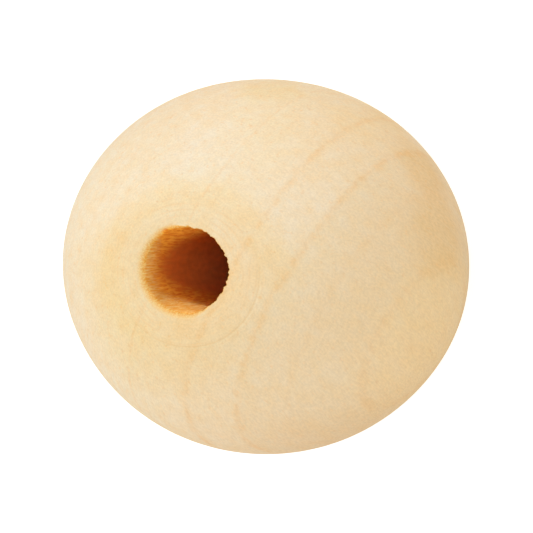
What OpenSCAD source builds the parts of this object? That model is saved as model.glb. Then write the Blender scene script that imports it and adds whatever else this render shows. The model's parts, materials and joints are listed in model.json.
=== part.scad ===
// Wooden ball with a bore through it: one piece of turned wood.
// The bore runs along Z and the ball stands on one of its two bored ends.
// X is the widest way, Y the narrow way, and the origin is the middle of the ball.

/* [Ball] */
// Widest measure, side to side
ball_wide = 30; // [24:0.25:60]
// Narrow measure, square to both the widest one and the bore
ball_narrow = 27.75; // [24:0.25:60]

/* [Bored ends] */
// How far each end face lies below the full round
end_drop = 0.8; // [0.5:0.05:1.6]
// Radius of the shoulder that leads from the round into the end face
shoulder_r = 6.5; // [3:0.25:8]
// Angle at which the shoulder meets the end face
shoulder_meet = 5; // [2:1:12]

/* [Bore] */
// Diameter of the bore
bore_d = 6; // [3:0.1:7.5]
// Radius of the softened lip at each mouth
lip_r = 0.5; // [0.2:0.05:1]
// How far the lip has turned over when it meets the end face, in degrees
lip_turn = 60; // [30:5:75]

/* [Hidden] */
$fn = 180;

ball_r = ball_wide / 2;
bore_r = bore_d / 2;
// The end faces lie at plus and minus this height.
end_z = ball_r - end_drop;

// The shoulder is an arc that touches the round from inside,
// and passes the end face at the meeting angle.
shoulder_z = end_z - shoulder_r * cos(shoulder_meet);
shoulder_x = sqrt(pow(ball_r - shoulder_r, 2) - pow(shoulder_z, 2));
shoulder_centre = [shoulder_x, shoulder_z];
// Line from the ball's middle through the arc's centre, to where arc and round touch.
touch_way = shoulder_centre / norm(shoulder_centre);

// The lip is an arc that starts on the bore's wall.
lip_z = end_z - lip_r * sin(lip_turn);

// Everything that is only cut with reaches this far past the ball.
beyond = ball_r / 4;

wood = [0.965, 0.875, 0.715];

// Runs its children at the upper end, and mirrored at the lower one.
module both_ends(up) {
    children();
    mirror(up) children();
}

// Squeezes what is round about the bore to the ball's narrow measure.
module out_of_round() {
    scale([1, ball_narrow / ball_wide, 1]) children();
}

// Section of what lies outside the shoulder's arc, between its crest and the round.
module outside_shoulder() {
    difference() {
        polygon([
            shoulder_centre,
            [shoulder_x, ball_r + beyond],
            touch_way * (ball_r + beyond),
        ]);
        translate(shoulder_centre) circle(r = shoulder_r);
    }
}

// Right half of the bore's section, which flares over the lip at each mouth.
module bore_section() {
    translate([0, -end_z - beyond]) square([bore_r, 2 * (end_z + beyond)]);
    both_ends([0, 1]) difference() {
        translate([bore_r / 2, lip_z]) square([bore_r / 2 + lip_r, end_z - lip_z + beyond]);
        translate([bore_r + lip_r, lip_z]) circle(r = lip_r);
    }
}

// The ball is wider one way than the other, but its bore is truly round.
module ball() {
    color(wood) difference() {
        intersection() {
            difference() {
                out_of_round() sphere(r = ball_r);
                both_ends([0, 0, 1]) out_of_round() rotate_extrude() outside_shoulder();
            }
            cube([2 * ball_wide, 2 * ball_narrow, 2 * end_z], center = true);
        }
        rotate_extrude() bore_section();
    }
}

ball();
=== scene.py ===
"""A turned ball of bare, pale wood with a bore through it, standing on one bored end."""
import json
import math

import bmesh
import bpy
from mathutils import Matrix, Vector, noise


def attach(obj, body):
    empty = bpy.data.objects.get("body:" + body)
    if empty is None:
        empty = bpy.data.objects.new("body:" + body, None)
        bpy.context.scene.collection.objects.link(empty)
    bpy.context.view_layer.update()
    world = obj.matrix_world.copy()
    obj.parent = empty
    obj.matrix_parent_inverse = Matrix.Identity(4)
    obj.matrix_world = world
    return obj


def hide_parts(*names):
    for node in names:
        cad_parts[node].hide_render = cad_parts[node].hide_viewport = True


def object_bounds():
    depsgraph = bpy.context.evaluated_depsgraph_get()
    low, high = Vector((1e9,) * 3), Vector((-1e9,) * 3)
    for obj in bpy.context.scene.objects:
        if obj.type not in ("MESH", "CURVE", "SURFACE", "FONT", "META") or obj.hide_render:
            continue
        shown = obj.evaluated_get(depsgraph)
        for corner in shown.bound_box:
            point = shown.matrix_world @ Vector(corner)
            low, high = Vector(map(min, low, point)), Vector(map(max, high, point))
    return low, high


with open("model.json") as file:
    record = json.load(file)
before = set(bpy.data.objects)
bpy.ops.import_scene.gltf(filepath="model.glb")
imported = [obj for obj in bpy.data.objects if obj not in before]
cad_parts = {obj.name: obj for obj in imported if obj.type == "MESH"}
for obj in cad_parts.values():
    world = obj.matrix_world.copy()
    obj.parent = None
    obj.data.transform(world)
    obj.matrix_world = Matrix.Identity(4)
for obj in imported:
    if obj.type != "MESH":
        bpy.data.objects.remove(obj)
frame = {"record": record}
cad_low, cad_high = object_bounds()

MM = 0.001

# ---------------------------------------------------------------- sizes, in millimetres
# What the frame says.
WIDE = cad_high.x / MM                # half the widest measure
NARROW = cad_high.y / MM              # half the narrow measure
END = cad_high.z / MM                 # height of the end faces above the middle
BORE = next(m for m in frame["record"]["mounts"] if m["name"] == "through_bore")["dims"]["r_mm"]
# The ball is out of round. "Turned" sizes are those along X; along Y they are this share of them.
SQUEEZE = NARROW / WIDE

# The bored ends, as turned.
SHOULDER = 6.5                        # radius of the shoulder that leads into the end face
SHOULDER_MEET = 5.0                   # slope at which the shoulder meets the end face, in degrees
MOUTH = 3.20                          # radius of the bore at its mouth
MOUTH_TAPER = 4.0                     # depth at which the mouth has narrowed to the bore
SOFT_LIP = 0.50                       # rounding of the lip where it is worn
CRISP_LIP = 0.05                      # rounding of the lip where the drill left it crisp
WORN_SIDE = -158.0                    # which way round the worn side lies, in degrees from +X
WORN_HALF, WORN_FADE = 93.0, 18.0     # half its width and half the width of its fading, in degrees
LOWER_TURN = 150.0                    # how much further round it lies at the lower end
DRILLED_BY = 0.69                     # share of the way round the lip where it has the wall's colour
LIP_END = MOUTH + SOFT_LIP + 0.01     # radius just past the last point of the lip

# The torn edge on the crisp side.
TOOTH, TOOTH_DEPTH = 0.28, 0.11       # spacing and depth of its teeth
TORN_DOWN, TORN_OUT = 0.5, 0.2        # how far it reaches down the bore, and out on the end face
# Where the edge broke back: the middle of each side, how widely, and how far.
CHIPS = ((3.0, 22.0, 0.13), (112.0, 18.0, 0.11))
CHIP_OUT = 0.5                        # how far out on the end face a chip reaches

# The wood fibres that the drill raised.
FIBRE, FIBRE_LENGTH = 0.18, 1.6       # their width and length
FIBRE_RISE, FIBRE_LEAST = 0.045, 0.25  # how far they stand out, and what share of it where not fuzzy
SWAY, SWAY_LENGTH = 0.10, 0.7         # how far they sway round the bore, in radians, and over what length
# The fuzzy band and the pale band near the mouth are torn fibre and also painted light that falls into the
# bore past the rim.
FUZZ_AND_LIT_DEPTH = 2.2                      # how deep the wall is fuzzy with them
PALE_AND_LIT_DEPTH = 1.60                     # how deep the fuzz is pale with loose ones
TORN_AND_LIT_FROM, TORN_AND_LIT_TO = 0.3, 1.7         # shares of those depths where they start and end to fade
# Where the drill cut against the grain, and where painted light reaches deeper into the bore: the
# middle of each side, how widely, and how much deeper the fuzz and the pale fuzz reach there. On one
# side the pale fuzz is shallower.
TEARS_AND_LIT_SIDES = ((-122.0, 28.0, 8.0), (104.0, 36.0, 6.5))
PALE_TEARS_AND_LIT_SIDES = ((-104.0, 24.0, 7.5), (118.0, 24.0, -1.5))

# The fine groove that the tool left round the mouth: its middle, radius, width and depth, the side
# where it is deepest, and the share of its depth that it loses on the other side.
GROOVE_MIDDLE = Vector((0.04, -0.28))
GROOVE_AT, GROOVE_WIDE, GROOVE_DEEP = 5.45, 0.13, 0.06
GROOVE_SIDE, GROOVE_LOSS = -60.0, 0.9
# The groove's dark inner edge is dust and also painted shade, whole on the groove's deep side.
DUST_AND_SHADE_SIDE, COLLAR_SIDE = 4.5, 6.0     # how far to that side the dust is whole and the collar gone
DUST_AND_SHADE_IN, DUST_AND_SHADE_HALF = 0.06, 0.10       # how far inside the groove dust darkens it, and how widely
# The tool's fine rings, in to the bore: their middle, a hair off the groove's, their step, half
# width, and where they start and end to fade.
RINGS_MIDDLE = Vector((0.04, -0.303, 0.0))
RING_STEP, RING_HALF = 0.46, 0.11
RINGS_WHOLE, RINGS_END = 5.5, 5.9
# The browner collar outside the groove: its radius, and how far to each side it is whole and ends.
COLLAR_AT, COLLAR_WHOLE, COLLAR_END = 6.0, 0.4, 1.6
# Where sanding left the round a little flat, and by how much and how widely.
FLAT_SPOTS = [Vector(spot).normalized() for spot in (
    (0.68, -0.69, -0.26), (-0.76, -0.53, 0.35), (-0.01, 1.0, -0.03),
)]
FLAT_DEEP, FLAT_HALF = 0.10, 24.0     # millimetres, degrees
FLAT_FROM, FLAT_WHOLE = 5.0, 9.0      # radii between which the flats come in

# The mesh: steps round the bore, and rows along half the section.
AROUND = 384
DEEP_ROWS, MOUTH_ROWS, EDGE_ROWS = 9, 36, 2
LIP_ROWS, FACE_ROWS, GROOVE_ROWS, SHOULDER_ROWS, ROUND_ROWS = 9, 2, 20, 12, 28
FINE_DEPTH = 3.2                      # length of bore next to the mouth that has fine rows
FINE_FROM, FINE_TO = 4.85, 6.05       # radii between which the shoulder has fine rows
FINE_LEAD = 3                         # rows of the shoulder inside them

# The camera.
VIEW_TILT = 22.93                     # how far it is turned from the bore towards +X, in degrees
VIEW_LIFT = 1.94                      # how far it is raised towards +Y, in degrees
VIEW_ROLL = 1.7                       # clockwise turn of the ball in the frame, in degrees
VIEW_DISTANCE = 165.0
FRAME_PIXELS = 533                    # side of the frame, in pixels
FOCAL_PIXELS = 2229.0                 # focal length, in the same pixels
AIM_PIXELS = (0.6, -0.5)              # where the camera aims, right of and above the ball's middle
SENSOR = 36.0


# ---------------------------------------------------------------- shape
def draw_to(bm, last, x, z, steps=1):
    """Draws a straight stretch of the section, in equal steps, and returns its last vertex."""
    step = (Vector((x * MM, 0, z * MM)) - last.co) / steps
    for _ in range(steps):
        last = bmesh.ops.extrude_vert_indiv(bm, verts=[last])["verts"][0]
        bmesh.ops.translate(bm, verts=[last], vec=step)
    return last


def draw_round(bm, last, x, z, degrees, steps):
    """Draws a round stretch of the section about the centre (x, z), from the bore outwards."""
    made = bmesh.ops.spin(
        bm, geom=[last], cent=(x * MM, 0, z * MM), axis=(0, 1, 0),
        angle=math.radians(degrees), steps=steps, use_duplicate=False,
    )
    return next(e for e in made["geom_last"] if isinstance(e, bmesh.types.BMVert))


def shoulder_centre():
    """The middle of the shoulder's arc, as radius and height, so that it meets the round smoothly."""
    height = END - SHOULDER * math.cos(math.radians(SHOULDER_MEET))
    return math.sqrt((WIDE - SHOULDER) ** 2 - height ** 2), height


def turned_ball():
    """Spins the ball's section round the bore, bore wall included, so that it closes on itself."""
    centre_x, centre_z = shoulder_centre()
    touch = math.degrees(math.atan2(centre_x, centre_z))
    fine_from, fine_to = (
        math.degrees(math.asin((radius - centre_x) / SHOULDER)) for radius in (FINE_FROM, FINE_TO)
    )
    start = math.radians(SHOULDER_MEET)
    start_x, start_z = centre_x + SHOULDER * math.sin(start), centre_z + SHOULDER * math.cos(start)

    bm = bmesh.new()
    v = bm.verts.new((MOUTH * MM, 0, 0))
    v = draw_to(bm, v, MOUTH, END - FINE_DEPTH, DEEP_ROWS)
    v = draw_to(bm, v, MOUTH, END - CRISP_LIP, MOUTH_ROWS)
    v = draw_round(bm, v, MOUTH + CRISP_LIP, END - CRISP_LIP, 90, EDGE_ROWS)
    v = draw_to(bm, v, MOUTH + SOFT_LIP, END, LIP_ROWS)
    v = draw_to(bm, v, start_x, start_z, FACE_ROWS)
    v = draw_round(bm, v, centre_x, centre_z, fine_from - SHOULDER_MEET, FINE_LEAD)
    v = draw_round(bm, v, centre_x, centre_z, fine_to - fine_from, GROOVE_ROWS)
    v = draw_round(bm, v, centre_x, centre_z, touch - fine_to, SHOULDER_ROWS)
    draw_round(bm, v, 0, 0, 90 - touch, ROUND_ROWS)
    bmesh.ops.mirror(bm, geom=bm.verts[:] + bm.edges[:], axis="Z", merge_dist=1e-6)
    bmesh.ops.spin(
        bm, geom=bm.verts[:] + bm.edges[:], cent=(0, 0, 0), axis=(0, 0, 1),
        angle=math.tau, steps=AROUND, use_merge=True, use_duplicate=False,
    )
    bmesh.ops.remove_doubles(bm, verts=bm.verts[:], dist=1e-7)
    bmesh.ops.recalc_face_normals(bm, faces=bm.faces[:])
    return bm


def smooth_step(low, high, value):
    """Rises smoothly from 0 to 1 while the value goes from low to high."""
    t = min(max((value - low) / (high - low), 0.0), 1.0)
    return t * t * (3 - 2 * t)


def turn_between(angle, degrees):
    """The turn between an angle in radians and one in degrees, as degrees from 0 to 180."""
    return math.degrees(abs(math.remainder(angle - math.radians(degrees), math.tau)))


def round_the_lip(out, depth, lip):
    """Moves a point beside the sharp corner of the mouth onto a lip of that radius.

    Returns its new place, and how far round the lip it is: 0 on the end face, 1 on the bore wall.
    """
    if depth > lip:
        return out, depth, 1.0
    if out > MOUTH + lip:
        return out, depth, 0.0
    inward = 0.5 + 0.5 * (depth - (out - MOUTH)) / lip
    turn = math.pi / 2 * (1 - inward)
    return MOUTH + lip * (1 - math.cos(turn)), lip * (1 - math.sin(turn)), inward


def torn_edge(round_x, round_y, seed):
    """How far the teeth of the crisp edge stand in from the round, or out from it."""
    at = Vector((round_x, round_y, 0)) * MOUTH / TOOTH + Vector((0, 0, seed))
    return TOOTH_DEPTH * (noise.noise(at) + 0.6 * noise.noise(2.2 * at))


def raised_fibre(angle, z, seed):
    """How far a fibre stands out of the bore wall, from 0 to 1."""
    angle += SWAY * noise.noise(Vector((2 * math.cos(angle), 2 * math.sin(angle), z / SWAY_LENGTH)))
    at = Vector((math.cos(angle) * MOUTH / FIBRE, math.sin(angle) * MOUTH / FIBRE, z / FIBRE_LENGTH))
    return 1 - 2 * abs(noise.noise(at + Vector((0, 0, seed))))


def torn_and_lit_share(side, depth, usual, tears):
    """How much of the torn wood and its painted light is left at a depth: 1 at the mouth, 0 well below the
    tears.
    """
    reach = usual
    for middle, half, more in tears:
        reach += more * math.exp(-(turn_between(side, middle) / half) ** 2)
    return 1 - smooth_step(TORN_AND_LIT_FROM * reach, TORN_AND_LIT_TO * reach, depth)


def work_the_mouth(out, z, angle, side, end):
    """Wears one side of a lip, tears the other, raises the fibres and brings the bore true.

    Returns the point's new radius, height and squeeze, and how drilled, fuzzy and pale it is; the fuzz and
    paleness also carry painted light.
    """
    worn = 1 - smooth_step(WORN_HALF - WORN_FADE, WORN_HALF + WORN_FADE, turn_between(side, WORN_SIDE))
    lip = CRISP_LIP + (SOFT_LIP - CRISP_LIP) * worn
    out, depth, inward = round_the_lip(out, END - abs(z), lip)
    fuzzy_and_lit = torn_and_lit_share(side, depth, FUZZ_AND_LIT_DEPTH, TEARS_AND_LIT_SIDES)
    pale_and_lit = torn_and_lit_share(side, depth, PALE_AND_LIT_DEPTH, PALE_TEARS_AND_LIT_SIDES)

    shallow = 1 - smooth_step(0.0, TORN_DOWN, depth)
    tooth = torn_edge(math.cos(angle), math.sin(angle), end) * (1 - worn)
    moved = -tooth * (1 - smooth_step(MOUTH, MOUTH + TORN_OUT, out))
    for middle, half, back in CHIPS:
        chip = back * math.exp(-(turn_between(side, middle) / half) ** 2)
        moved += chip * (1 - smooth_step(MOUTH, MOUTH + CHIP_OUT, out))
    out += moved * shallow
    rise = FIBRE_RISE * (FIBRE_LEAST + (1 - FIBRE_LEAST) * fuzzy_and_lit)
    out -= rise * raised_fibre(angle, z, end) * inward

    taper = smooth_step(0.0, MOUTH_TAPER, depth)
    out *= 1 + (BORE / MOUTH - 1) * taper
    squeeze = SQUEEZE + (1 - SQUEEZE) * taper
    return out, end * (END - depth), squeeze, (min(inward / DRILLED_BY, 1.0), fuzzy_and_lit, pale_and_lit)


def work_the_outside(place, out, side, end):
    """Cuts the tool's groove and sands the flat spots. Returns the point's new radius and height."""
    from_groove = (place.xy - GROOVE_MIDDLE).length - GROOVE_AT
    groove = GROOVE_DEEP * math.exp(-(from_groove / (GROOVE_WIDE / 2)) ** 2)
    groove *= 1 - GROOVE_LOSS * turn_between(side, GROOVE_SIDE) / 180
    z = place.z - end * groove
    sink = 0.0
    for flat in FLAT_SPOTS:
        sink += FLAT_DEEP * math.exp(-(math.degrees(place.angle(flat)) / FLAT_HALF) ** 2)
    kept = 1 - sink / math.hypot(out, z) * smooth_step(FLAT_FROM, FLAT_WHOLE, out)
    return out * kept, z * kept


def work_the_wood(bm):
    """Works every point of the turned ball, and squeezes it to its narrow measure.

    Each point is marked with how far it belongs to the drilled wall, how fuzzy it is and how pale, and
    these last two also carry painted light near the mouth.
    """
    layers = [bm.verts.layers.float.new(name) for name in ("drilled", "fuzzy_and_lit", "pale_and_lit")]
    for v in bm.verts:
        place = v.co / MM
        out = place.xy.length
        angle = math.atan2(place.y, place.x)
        end = 1 if place.z > 0 else -1
        side = angle if end > 0 else angle - math.radians(LOWER_TURN)
        squeeze = SQUEEZE
        if out < LIP_END:
            out, z, squeeze, marks = work_the_mouth(out, place.z, angle, side, end)
            for layer, mark in zip(layers, marks):
                v[layer] = mark
        else:
            out, z = work_the_outside(place, out, side, end)
        v.co = Vector((out * math.cos(angle), out * math.sin(angle) * squeeze, z)) * MM


def make_ball():
    """The finished ball, as one piece."""
    bm = turned_ball()
    work_the_wood(bm)
    for face in bm.faces:
        face.smooth = True
    mesh = bpy.data.meshes.new("turned_ball")
    bm.to_mesh(mesh)
    bm.free()
    ball = bpy.data.objects.new("turned_ball", mesh)
    bpy.context.scene.collection.objects.link(ball)
    return ball


# ---------------------------------------------------------------- materials
# Colours are sRGB. Tints are factors on red, green and blue. Places and directions are for the
# turned ball, before it is squeezed, in millimetres.
#
# The tree that the ball was cut from.
GRAIN = Vector((-0.013, 0.439, 0.899))          # the way the fibres run
PITH_SIDE = Vector((-0.921, 0.344, -0.181))     # the way to the heart of the tree
PITH_REACH = 51.7                               # how far off the heart is
# The colour of the wood by its distance from the heart.
GROWTH = (
    (36.0, "EEE9D7"), (41.0, "F0E7D1"), (44.5, "F3E6CC"), (49.0, "F4E6CB"), (51.0, "F4E7CB"),
    (54.0, "F4E5C6"), (57.4, "F4E2C2"), (60.4, "F3E0BF"), (61.0, "F1DDBA"), (63.0, "F1DAB5"),
    (65.0, "F1D9B1"), (66.0, "F5DCAF"), (67.5, "F8DCAA"),
)
# The brown line at the end of a year's growth: its distance from the heart, half width, strength.
WINTERS = (
    (41.5, 0.50, 0.10), (45.5, 0.50, 0.10), (53.3, 0.20, 0.38), (54.2, 0.30, 0.12),
    (57.7, 0.42, 0.52), (60.7, 0.40, 0.60), (63.1, 0.30, 0.22), (65.65, 0.30, 0.42),
)
WINTER_BROWN = "F1CB95"
WANDER = 0.12                                   # how far the rings wander either way
MOTTLE_BROWN = "F3D19E"
COOLER, WARMER = (1.0, 1.018, 1.06), (1.0, 0.982, 0.94)
# Paler and browner patches: middle, radius and tint. The first is a painted highlight.
PATCHES_AND_HIGHLIGHT = (
    # A painted highlight: a paler spot where a soft sheen lies.
    ((1.0, 8.6, 12.2), 4.5, (1.0, 1.015, 1.07)),
    ((6.3, 0.4, 13.5), 2.5, (1.0, 0.97, 0.91)),
    ((7.4, 5.4, 11.9), 5.0, (1.0, 1.015, 1.06)),
    ((7.8, -9.1, 9.0), 5.5, (1.015, 1.04, 1.07)),
    ((10.8, -8.0, 7.0), 5.5, (1.01, 1.02, 1.05)),
    ((14.4, 3.0, 2.8), 5.0, (0.97, 0.91, 0.80)),
    ((12.6, 8.3, 1.5), 4.0, (0.975, 0.90, 0.77)),
    ((2.1, 13.9, 5.2), 3.5, (1.0, 0.97, 0.87)),
    ((8.7, 11.1, 4.6), 3.5, (1.0, 0.975, 0.91)),
    ((9.1, 11.9, 0.2), 3.0, (0.99, 0.955, 0.87)),
    ((-7.8, 0.0, 12.8), 4.5, (1.0, 0.985, 0.95)),
    ((-0.1, -4.2, 14.4), 1.7, (1.0, 0.975, 0.93)),
)
PATCH_WHOLE = 0.3                               # share of the radius where a patch is at its full
# Rounds of browner wood about the mouth: middle, where each starts and ends to fade, and tint.
BROWNED = (
    ((-0.25, 0.33, 0.0), 4.9, 6.4, (1.0, 0.975, 0.955)),
    ((-1.8, -2.5, 0.0), 4.6, 8.8, (0.98, 0.925, 0.80)),
)
COLLAR_TINT = (1.0, 0.965, 0.88)
# The same share darkens the groove's inner edge with dust and painted shade.
RUBBED_AND_SHADED = 0.35                                   # how brown the tool's rings are
# The bore wall: smooth near the mouth and at the middle, torn, and pale with loose fibres. The torn
# and pale colours are also painted light near the mouth.
SMOOTH_MOUTH, SMOOTH_MIDDLE = "CA7334", "E78A4B"
TORN_AND_LIT_DARK, TORN_AND_LIT_LIGHT = "E7902D", "FFC24C"
LOOSE_AND_LIT_DARK, LOOSE_AND_LIT_LIGHT = "F3B64D", "FFE599"
MIDDLE_REACH = 8.0                              # how far from the middle its colour reaches

# The marks of the grain, in millimetres: twice across it, then along it.
WANDER_SIZE = (2.0, 2.0, 5.0)
RAGGED_SIZE = (0.3333, 0.3333, 0.8333)
DASH_SIZE = (0.625, 0.625, 1.667)
MOTTLE_SIZE = (0.7692, 0.7692, 1.667)           # cloudy patches
WARMTH_SIZE = (0.8333, 0.8333, 2.222)
FLECK_SIZE = (0.25, 0.25, 0.6667)               # short rays and flecks
FLECK_MOST, MOTTLE_MOST = 0.55, 0.32            # how brown they are at the most
# Cut fibres are about 0.03 mm across, too fine to show, so they are drawn four times as coarse.
SPECK_SIZE = (0.13333, 0.13333, 0.4545)
# Marks of the sandpaper, which ran round the bore: across them, then twice along them. Real ones
# are finer too, and are drawn as coarse as shows.
SCRATCH_SIZE = (0.15385, 0.5882, 0.5882)
ARC_SIZE = (2.0, 2.0, 2.0)                      # stretches where the tool's rings show
# In the bore: strands of loose fibre, streaks of torn wood and stains.
STRAND_SIZE = (FIBRE / 2, FIBRE / 2, FIBRE_LENGTH)
STREAK_SIZE = (0.16667, 0.16667, 1.111)
STAIN_SIZE = (0.4167, 0.4167, 0.8333)
# How much specks, scratches and stains darken and lighten the wood, as a share.
SPECK_SHADE, SCRATCH_SHADE, STAIN_SHADE = 0.046, 0.018, 0.10
# Heights of the finest relief, in millimetres.
SPECK_RISE, SCRATCH_RISE, RING_SINK = 0.0035, 0.0018, 0.005

FLOOR_HALF = 1.5                                # half the floor's side, in metres
CARD_GLOW = 0.55                                # how strongly the card glows to the camera


def linear(hex_colour):
    """An sRGB hex colour as the linear values that shaders take."""
    parts = [int(hex_colour[i:i + 2], 16) / 255 for i in (0, 2, 4)]
    return [c / 12.92 if c <= 0.04045 else ((c + 0.055) / 1.055) ** 2.4 for c in parts] + [1.0]


def add(tree, kind, inputs=None, out=None, **settings):
    """Adds a node with its settings, sets or links its inputs, and returns the output to use.

    That is the one named, or else the first in use. A Mix node's colours are its inputs 6 and 7.
    """
    node = tree.nodes.new("ShaderNode" + kind)
    for name, value in settings.items():
        setattr(node, name, value)
    for name, value in (inputs or {}).items():
        if isinstance(value, bpy.types.NodeSocket):
            tree.links.new(value, node.inputs[name])
        else:
            node.inputs[name].default_value = value
    return node.outputs[out] if out else next(socket for socket in node.outputs if socket.enabled)


def trunk_place(tree, turned):
    """Where a point was in the tree: X and Y across the trunk from its heart, Z along the grain."""
    grain = GRAIN.normalized()
    to_pith = (PITH_SIDE - PITH_SIDE.dot(grain) * grain).normalized()
    turn = Matrix((to_pith, grain.cross(to_pith), grain)).to_euler()
    return add(tree, "Mapping", {"Vector": turned, "Rotation": turn, "Location": (-PITH_REACH, 0, 0)})


def grain_marks(tree, place, size, detail=1.0, low=0.3, high=0.7, least=0.0, most=1.0, swirl=0.0):
    """Random marks of a size in millimetres, spread over the range given."""
    at = add(tree, "Mapping", {"Vector": place, "Scale": [1 / length for length in size]})
    cloud = add(tree, "TexNoise", {
        "Vector": at, "Scale": 1.0, "Detail": detail, "Distortion": swirl,
    }, out="Fac")
    return add(tree, "MapRange", {
        "Value": cloud, "From Min": low, "From Max": high, "To Min": least, "To Max": most,
    })


def distance_to(tree, place, middle=(0, 0, 0), axes=(1, 1, 1)):
    """The distance from a middle, counting only the axes kept."""
    aside = add(tree, "VectorMath", {0: place, 1: middle}, operation="SUBTRACT")
    kept = add(tree, "VectorMath", {0: aside, 1: axes}, operation="MULTIPLY")
    return add(tree, "VectorMath", {0: kept}, operation="LENGTH")


def soft_line(tree, distance, at, whole, end, strength=1.0):
    """A line where a distance is at a value: its strength in the middle, gone smoothly by its end."""
    off = add(tree, "Math", {0: distance, 1: at}, operation="SUBTRACT")
    off = add(tree, "Math", {0: off}, operation="ABSOLUTE")
    return add(tree, "MapRange", {
        "Value": off, "From Min": whole, "From Max": end, "To Min": strength, "To Max": 0.0,
    }, interpolation_type="SMOOTHSTEP")


def growth_colour(tree, trunk):
    """The wood's colour from its distance to the heart of the tree."""
    reach = distance_to(tree, trunk, axes=(1, 1, 0))
    for size, detail in ((WANDER_SIZE, 2.0), (RAGGED_SIZE, 1.0)):
        shift = grain_marks(tree, trunk, size, detail, 0.0, 1.0, -WANDER, WANDER)
        reach = add(tree, "Math", {0: reach, 1: shift}, operation="ADD")
    first, last = GROWTH[0][0], GROWTH[-1][0]
    share = add(tree, "MapRange", {"Value": reach, "From Min": first, "From Max": last})
    wood = add(tree, "ValToRGB", {"Fac": share})
    elements = wood.node.color_ramp.elements
    while len(elements) < len(GROWTH):
        elements.new(1.0)
    for element, (radius, colour) in zip(elements, GROWTH):
        element.position = (radius - first) / (last - first)
        element.color = linear(colour)

    # The winter lines are broken into short dashes.
    dashes = grain_marks(tree, trunk, DASH_SIZE, 3.0, 0.34, 0.64, 0.1)
    for radius, half, strength in WINTERS:
        line = soft_line(tree, reach, radius, 0.0, half, strength)
        line = add(tree, "Math", {0: line, 1: dashes}, operation="MULTIPLY")
        wood = add(tree, "Mix", {0: line, 6: wood, 7: linear(WINTER_BROWN)}, data_type="RGBA")
    return wood


def cut_grain(tree, trunk, wood):
    """Lays flecks, a cloudy mottling and cut fibres over the growth."""
    fleck = grain_marks(tree, trunk, FLECK_SIZE, 1.0, 0.60, 0.85, most=FLECK_MOST)
    wood = add(tree, "Mix", {0: fleck, 6: wood, 7: linear(WINTER_BROWN)}, data_type="RGBA")
    mottle = grain_marks(tree, trunk, MOTTLE_SIZE, 3.0, 0.35, 0.75, most=MOTTLE_MOST)
    wood = add(tree, "Mix", {0: mottle, 6: wood, 7: linear(MOTTLE_BROWN)}, data_type="RGBA")
    warmth = grain_marks(tree, trunk, WARMTH_SIZE, 4.0)
    warmth = add(tree, "Mix", {0: warmth, 6: (*WARMER, 1), 7: (*COOLER, 1)}, data_type="RGBA")
    wood = add(tree, "VectorMath", {0: wood, 1: warmth}, operation="MULTIPLY")
    speck = grain_marks(tree, trunk, SPECK_SIZE, least=1 - SPECK_SHADE, most=1 + SPECK_SHADE)
    return add(tree, "VectorMath", {0: wood, 1: speck}, operation="MULTIPLY")


def sanding_marks(tree, turned):
    """Scratches that run round the bore, from 0 to 1. They lie by height, and by how far out."""
    parts = add(tree, "SeparateXYZ", {"Vector": turned}).node.outputs
    height = add(tree, "Math", {0: parts["Z"]}, operation="ABSOLUTE")
    out = distance_to(tree, turned, axes=(1, 1, 0))
    down = add(tree, "Math", {0: out, 1: height}, operation="SUBTRACT")
    across = add(tree, "CombineXYZ", {"X": down, "Y": parts["X"], "Z": parts["Y"]})
    return grain_marks(tree, across, SCRATCH_SIZE)


def patchy(tree, turned, wood):
    """Tints the patches, a painted highlight among them, and the browner rounds about the mouth."""
    for middle, radius, tint in PATCHES_AND_HIGHLIGHT:
        near = soft_line(tree, distance_to(tree, turned, middle), 0.0, PATCH_WHOLE * radius, radius)
        wood = add(tree, "Mix", {0: near, 6: wood, 7: (*tint, 1)}, data_type="RGBA", blend_type="MULTIPLY")
    for middle, start, end, tint in BROWNED:
        near = soft_line(tree, distance_to(tree, turned, middle, (1, 1, 0)), 0.0, start, end)
        wood = add(tree, "Mix", {0: near, 6: wood, 7: (*tint, 1)}, data_type="RGBA", blend_type="MULTIPLY")
    return wood


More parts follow.
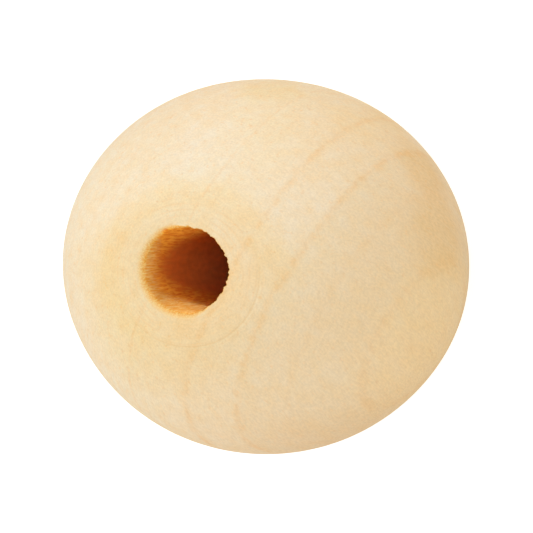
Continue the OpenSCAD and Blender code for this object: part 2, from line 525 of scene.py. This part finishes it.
def tool_rings(tree, turned):
    """Where the tool rubbed the wood: its rings, its groove with dust and painted shade, and the collar
    outside them.
    """
    from_tool = distance_to(tree, turned, RINGS_MIDDLE, (1, 1, 0))
    # Five and a half steps in from the groove, so that the groove lies half way between two rings.
    to_ring = add(tree, "Math", {0: from_tool, 1: GROOVE_AT - 5.5 * RING_STEP}, operation="SUBTRACT")
    off_ring = add(tree, "Math", {0: to_ring, 1: RING_STEP / 2}, operation="PINGPONG")
    rings = soft_line(tree, off_ring, 0.0, 0.0, RING_HALF)
    arcs = grain_marks(tree, turned, ARC_SIZE, 1.0, 0.40, 0.62)
    for part in (soft_line(tree, from_tool, 0.0, RINGS_WHOLE, RINGS_END), arcs):
        rings = add(tree, "Math", {0: rings, 1: part}, operation="MULTIPLY")

    # The groove has dust and painted shade in its inner edge, on its deep side. The collar is browner on
    # the other.
    side = math.radians(GROOVE_SIDE)
    aside = add(tree, "VectorMath", {0: turned, 1: RINGS_MIDDLE}, operation="SUBTRACT")
    towards = (math.cos(side), math.sin(side), 0.0)
    sideways = add(tree, "VectorMath", {0: aside, 1: towards}, operation="DOT_PRODUCT")
    deep_side = add(tree, "MapRange", {
        "Value": sideways, "From Min": 0.0, "From Max": DUST_AND_SHADE_SIDE,
    }, interpolation_type="SMOOTHSTEP")
    dust_and_shade = soft_line(tree, from_tool, GROOVE_AT - DUST_AND_SHADE_IN, 0.0, DUST_AND_SHADE_HALF)
    dust_and_shade = add(tree, "Math", {0: dust_and_shade, 1: deep_side}, operation="MULTIPLY")
    far_side = add(tree, "MapRange", {
        "Value": sideways, "From Min": 0.0, "From Max": COLLAR_SIDE, "To Min": 1.0, "To Max": 0.0,
    }, interpolation_type="SMOOTHSTEP")
    collar = soft_line(tree, from_tool, COLLAR_AT, COLLAR_WHOLE, COLLAR_END)
    collar = add(tree, "Math", {0: collar, 1: far_side}, operation="MULTIPLY")
    return add(tree, "Math", {0: rings, 1: dust_and_shade}, operation="MAXIMUM"), collar


def bore_wall(tree, turned):
    """The drilled wall: smooth and brown deep down, torn and orange above, pale where it is fuzzy; near
    the mouth, painted light too.
    """
    strand = grain_marks(tree, turned, STRAND_SIZE, 2.0, 0.42, 0.68, swirl=0.8)
    loose_and_lit = add(tree, "Mix", {0: strand, 6: linear(LOOSE_AND_LIT_DARK), 7: linear(LOOSE_AND_LIT_LIGHT)}, data_type="RGBA")
    streak = grain_marks(tree, turned, STREAK_SIZE, 2.0, 0.42, 0.60, swirl=0.6)
    ragged_and_lit = add(tree, "Mix", {0: streak, 6: linear(TORN_AND_LIT_DARK), 7: linear(TORN_AND_LIT_LIGHT)}, data_type="RGBA")
    height = add(tree, "SeparateXYZ", {"Vector": turned}, out="Z")
    middle = soft_line(tree, height, 0.0, 0.0, MIDDLE_REACH)
    smooth = add(tree, "Mix", {
        0: middle, 6: linear(SMOOTH_MOUTH), 7: linear(SMOOTH_MIDDLE),
    }, data_type="RGBA")
    stain = grain_marks(tree, turned, STAIN_SIZE, 3.0, least=1 - STAIN_SHADE, most=1 + STAIN_SHADE)
    smooth = add(tree, "VectorMath", {0: smooth, 1: stain}, operation="MULTIPLY")
    fuzzy_and_lit = add(tree, "Attribute", out="Fac", attribute_name="fuzzy_and_lit")
    pale_and_lit = add(tree, "Attribute", out="Fac", attribute_name="pale_and_lit")
    torn_and_lit = add(tree, "Mix", {0: fuzzy_and_lit, 6: smooth, 7: ragged_and_lit}, data_type="RGBA")
    return add(tree, "Mix", {0: pale_and_lit, 6: torn_and_lit, 7: loose_and_lit}, data_type="RGBA")


def turned_wood():
    """Birch or a wood like it, turned, drilled and sanded, and left bare.

    The outside is matt and even, with faint brown growth lines and specks of cut fibre, paler and
    browner patches, and one painted highlight. Round the mouth it is browner, with fine tool rings, and
    dust and painted shade in the groove. The drill left the bore a deep orange, paler where it raised
    the fibres; near the mouth those bands are also painted light. Bare wood has hardly any gloss.
    """
    material = bpy.data.materials.new("bare_birch_turned_and_sanded")
    material.use_nodes = True
    tree = material.node_tree
    place = add(tree, "TexCoord", out="Object")
    turned = add(tree, "Mapping", {"Vector": place, "Scale": (1 / MM, 1 / MM / SQUEEZE, 1 / MM)})
    trunk = trunk_place(tree, turned)

    wood = cut_grain(tree, trunk, growth_colour(tree, trunk))
    scratch = sanding_marks(tree, turned)
    scratched = add(tree, "MapRange", {
        "Value": scratch, "To Min": 1 - SCRATCH_SHADE, "To Max": 1 + SCRATCH_SHADE,
    })
    wood = add(tree, "VectorMath", {0: wood, 1: scratched}, operation="MULTIPLY")
    wood = patchy(tree, turned, wood)
    tooled_and_shaded, collar = tool_rings(tree, turned)
    wood = add(tree, "Mix", {
        0: collar, 6: wood, 7: (*COLLAR_TINT, 1),
    }, data_type="RGBA", blend_type="MULTIPLY")
    # The rings are rubbed brown; the groove's inner edge gets dust and painted shade.
    rubbed_and_shaded = add(tree, "Math", {0: tooled_and_shaded, 1: RUBBED_AND_SHADED}, operation="MULTIPLY")
    wood = add(tree, "Mix", {0: rubbed_and_shaded, 6: wood, 7: linear(WINTER_BROWN)}, data_type="RGBA")
    drilled = add(tree, "Attribute", out="Fac", attribute_name="drilled")
    wood = add(tree, "Mix", {0: drilled, 6: wood, 7: bore_wall(tree, turned)}, data_type="RGBA")

    # The finest relief: cut fibres, sanding marks and the tool's rings.
    specks = grain_marks(tree, trunk, SPECK_SIZE, most=SPECK_RISE)
    scratches = add(tree, "Math", {0: scratch, 1: SCRATCH_RISE}, operation="MULTIPLY")
    rise = add(tree, "Math", {0: specks, 1: scratches}, operation="ADD")
    rings = add(tree, "Math", {0: tooled_and_shaded, 1: RING_SINK}, operation="MULTIPLY")
    rise = add(tree, "Math", {0: rise, 1: rings}, operation="SUBTRACT")
    relief = add(tree, "Bump", {"Height": rise, "Distance": MM, "Strength": 1.0})

    shader = tree.nodes["Principled BSDF"]
    tree.links.new(wood, shader.inputs["Base Color"])
    tree.links.new(relief, shader.inputs["Normal"])
    shader.inputs["Roughness"].default_value = 0.8
    shader.inputs["Specular IOR Level"].default_value = 0.08
    return material


def white_card():
    """Matt white card, with no gloss. It glows a little to the camera, so the far white stays white."""
    material = bpy.data.materials.new("matt_white_card")
    material.use_nodes = True
    tree = material.node_tree
    shader = tree.nodes["Principled BSDF"]
    shader.inputs["Base Color"].default_value = linear("E7E7E7")
    shader.inputs["Roughness"].default_value = 0.9
    shader.inputs["Specular IOR Level"].default_value = 0.0
    shader.inputs["Emission Color"].default_value = (1, 1, 1, 1)
    seen = add(tree, "LightPath", out="Is Camera Ray")
    glow = add(tree, "Math", {0: seen, 1: CARD_GLOW}, operation="MULTIPLY")
    tree.links.new(glow, shader.inputs["Emission Strength"])
    return material


# ---------------------------------------------------------------- stage, lights and camera
def make_floor():
    """A level sheet of white card under the lower end."""
    bm = bmesh.new()
    bmesh.ops.create_grid(bm, x_segments=1, y_segments=1, size=FLOOR_HALF)
    bmesh.ops.translate(bm, verts=bm.verts[:], vec=(0, 0, -END * MM))
    mesh = bpy.data.meshes.new("floor")
    bm.to_mesh(mesh)
    bm.free()
    floor = bpy.data.objects.new("floor", mesh)
    bpy.context.scene.collection.objects.link(floor)
    floor.data.materials.append(white_card())


def view_axes():
    """The camera's right, up and back, as directions."""
    tilt, lift, roll = (math.radians(a) for a in (VIEW_TILT, VIEW_LIFT, VIEW_ROLL))
    back = Vector((math.sin(tilt) * math.cos(lift), math.sin(lift), math.cos(tilt) * math.cos(lift)))
    across = Vector((0, 1, 0)).cross(back).normalized()
    upward = back.cross(across)
    right = across * math.cos(roll) + upward * math.sin(roll)
    up = upward * math.cos(roll) - across * math.sin(roll)
    return right, up, back


def make_camera():
    """The camera, on a line past the ball's middle, turned as the frame asks."""
    right, up, back = view_axes()
    data = bpy.data.cameras.new("camera")
    data.sensor_width = SENSOR
    data.lens = FOCAL_PIXELS / FRAME_PIXELS * SENSOR
    data.clip_start = 0.01
    camera = bpy.data.objects.new("camera", data)
    pixel = VIEW_DISTANCE / FOCAL_PIXELS
    place = back * VIEW_DISTANCE + right * AIM_PIXELS[0] * pixel + up * AIM_PIXELS[1] * pixel
    turn = Matrix((right, up, back)).transposed().to_4x4()
    camera.matrix_world = Matrix.Translation(place * MM) @ turn
    bpy.context.scene.collection.objects.link(camera)
    bpy.context.scene.camera = camera


# Soft boxes: which way round the view they stand, in degrees up from its right; how far off its
# axis; their power in watts; and their tint.
COOL, WARM, GLOW = (1.0, 1.25, 1.38), (1.0, 0.78, 0.60), (1.0, 0.60, 0.30)
PALE = (1.0, 0.87, 0.76)
SOFT_BOXES = {
    "front": (0, 0, 0.81, COOL),
    "right": (0, 55, 0.25, WARM),
    "left": (180, 55, 0.56, COOL),
    "top": (90, 80, 0.65, WARM),
    "upper_left": (135, 80, 0.49, WARM),
    "behind_left": (210, 100, 0.63, PALE),
    "below": (275, 78, 0.33, GLOW),
}
BOX_SIZE, BOX_DISTANCE = 0.3, 0.6     # metres
# Snooted lamps that only reach into the bore: where each beam enters the mouth, the way to its
# lamp, its width in degrees, how soft its edge is and its power in watts.
SNOOTS = {
    "snoot_above": (Vector((-0.49, -0.12, 14.2)), Vector((-0.135, 0.543, 0.829)), 1.78, 0.1, 0.60),
    "snoot_below": (Vector((-0.4, 0.5, 14.2)), Vector((-0.04, -0.454, 0.89)), 1.85, 0.3, 0.30),
}
SNOOT_DISTANCE = 132.0                # millimetres
SNOOT_BULB = 0.0004                   # radius of its bulb, in metres
DAYLIGHT = (0.55, 0.484, 0.424)       # what comes evenly from all round


def make_lights():
    """Daylight from all round, and the soft boxes."""
    world = bpy.data.worlds.new("studio")
    bpy.context.scene.world = world
    world.use_nodes = True
    world.node_tree.nodes["Background"].inputs["Color"].default_value = (*DAYLIGHT, 1)
    world.node_tree.nodes["Background"].inputs["Strength"].default_value = 1.0
    right, up, back = view_axes()
    for name, (round_view, off_axis, power, tint) in SOFT_BOXES.items():
        turn, off = math.radians(round_view), math.radians(off_axis)
        towards = (right * math.cos(turn) + up * math.sin(turn)) * math.sin(off) + back * math.cos(off)
        data = bpy.data.lights.new(name, "AREA")
        data.shape = "SQUARE"
        data.size = BOX_SIZE
        data.energy = power
        data.color = tint
        lamp = bpy.data.objects.new(name, data)
        lamp.location = towards * BOX_DISTANCE
        lamp.rotation_euler = towards.to_track_quat("Z", "Y").to_euler()
        bpy.context.scene.collection.objects.link(lamp)


def make_snoots():
    """The two narrow lamps that reach into the bore."""
    for name, (mouth, towards, beam, edge, power) in SNOOTS.items():
        data = bpy.data.lights.new(name, "SPOT")
        data.energy = power
        data.spot_size = math.radians(beam)
        data.spot_blend = edge
        data.shadow_soft_size = SNOOT_BULB
        lamp = bpy.data.objects.new(name, data)
        lamp.location = (mouth + towards.normalized() * SNOOT_DISTANCE) * MM
        lamp.rotation_euler = towards.to_track_quat("Z", "Y").to_euler()
        bpy.context.scene.collection.objects.link(lamp)


# ---------------------------------------------------------------- the scene
make_camera()
make_floor()
make_lights()
make_snoots()
ball = make_ball()
ball.data.materials.append(turned_wood())
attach(ball, "root")
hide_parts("ball")
bpy.context.scene.view_settings.view_transform = "Standard"
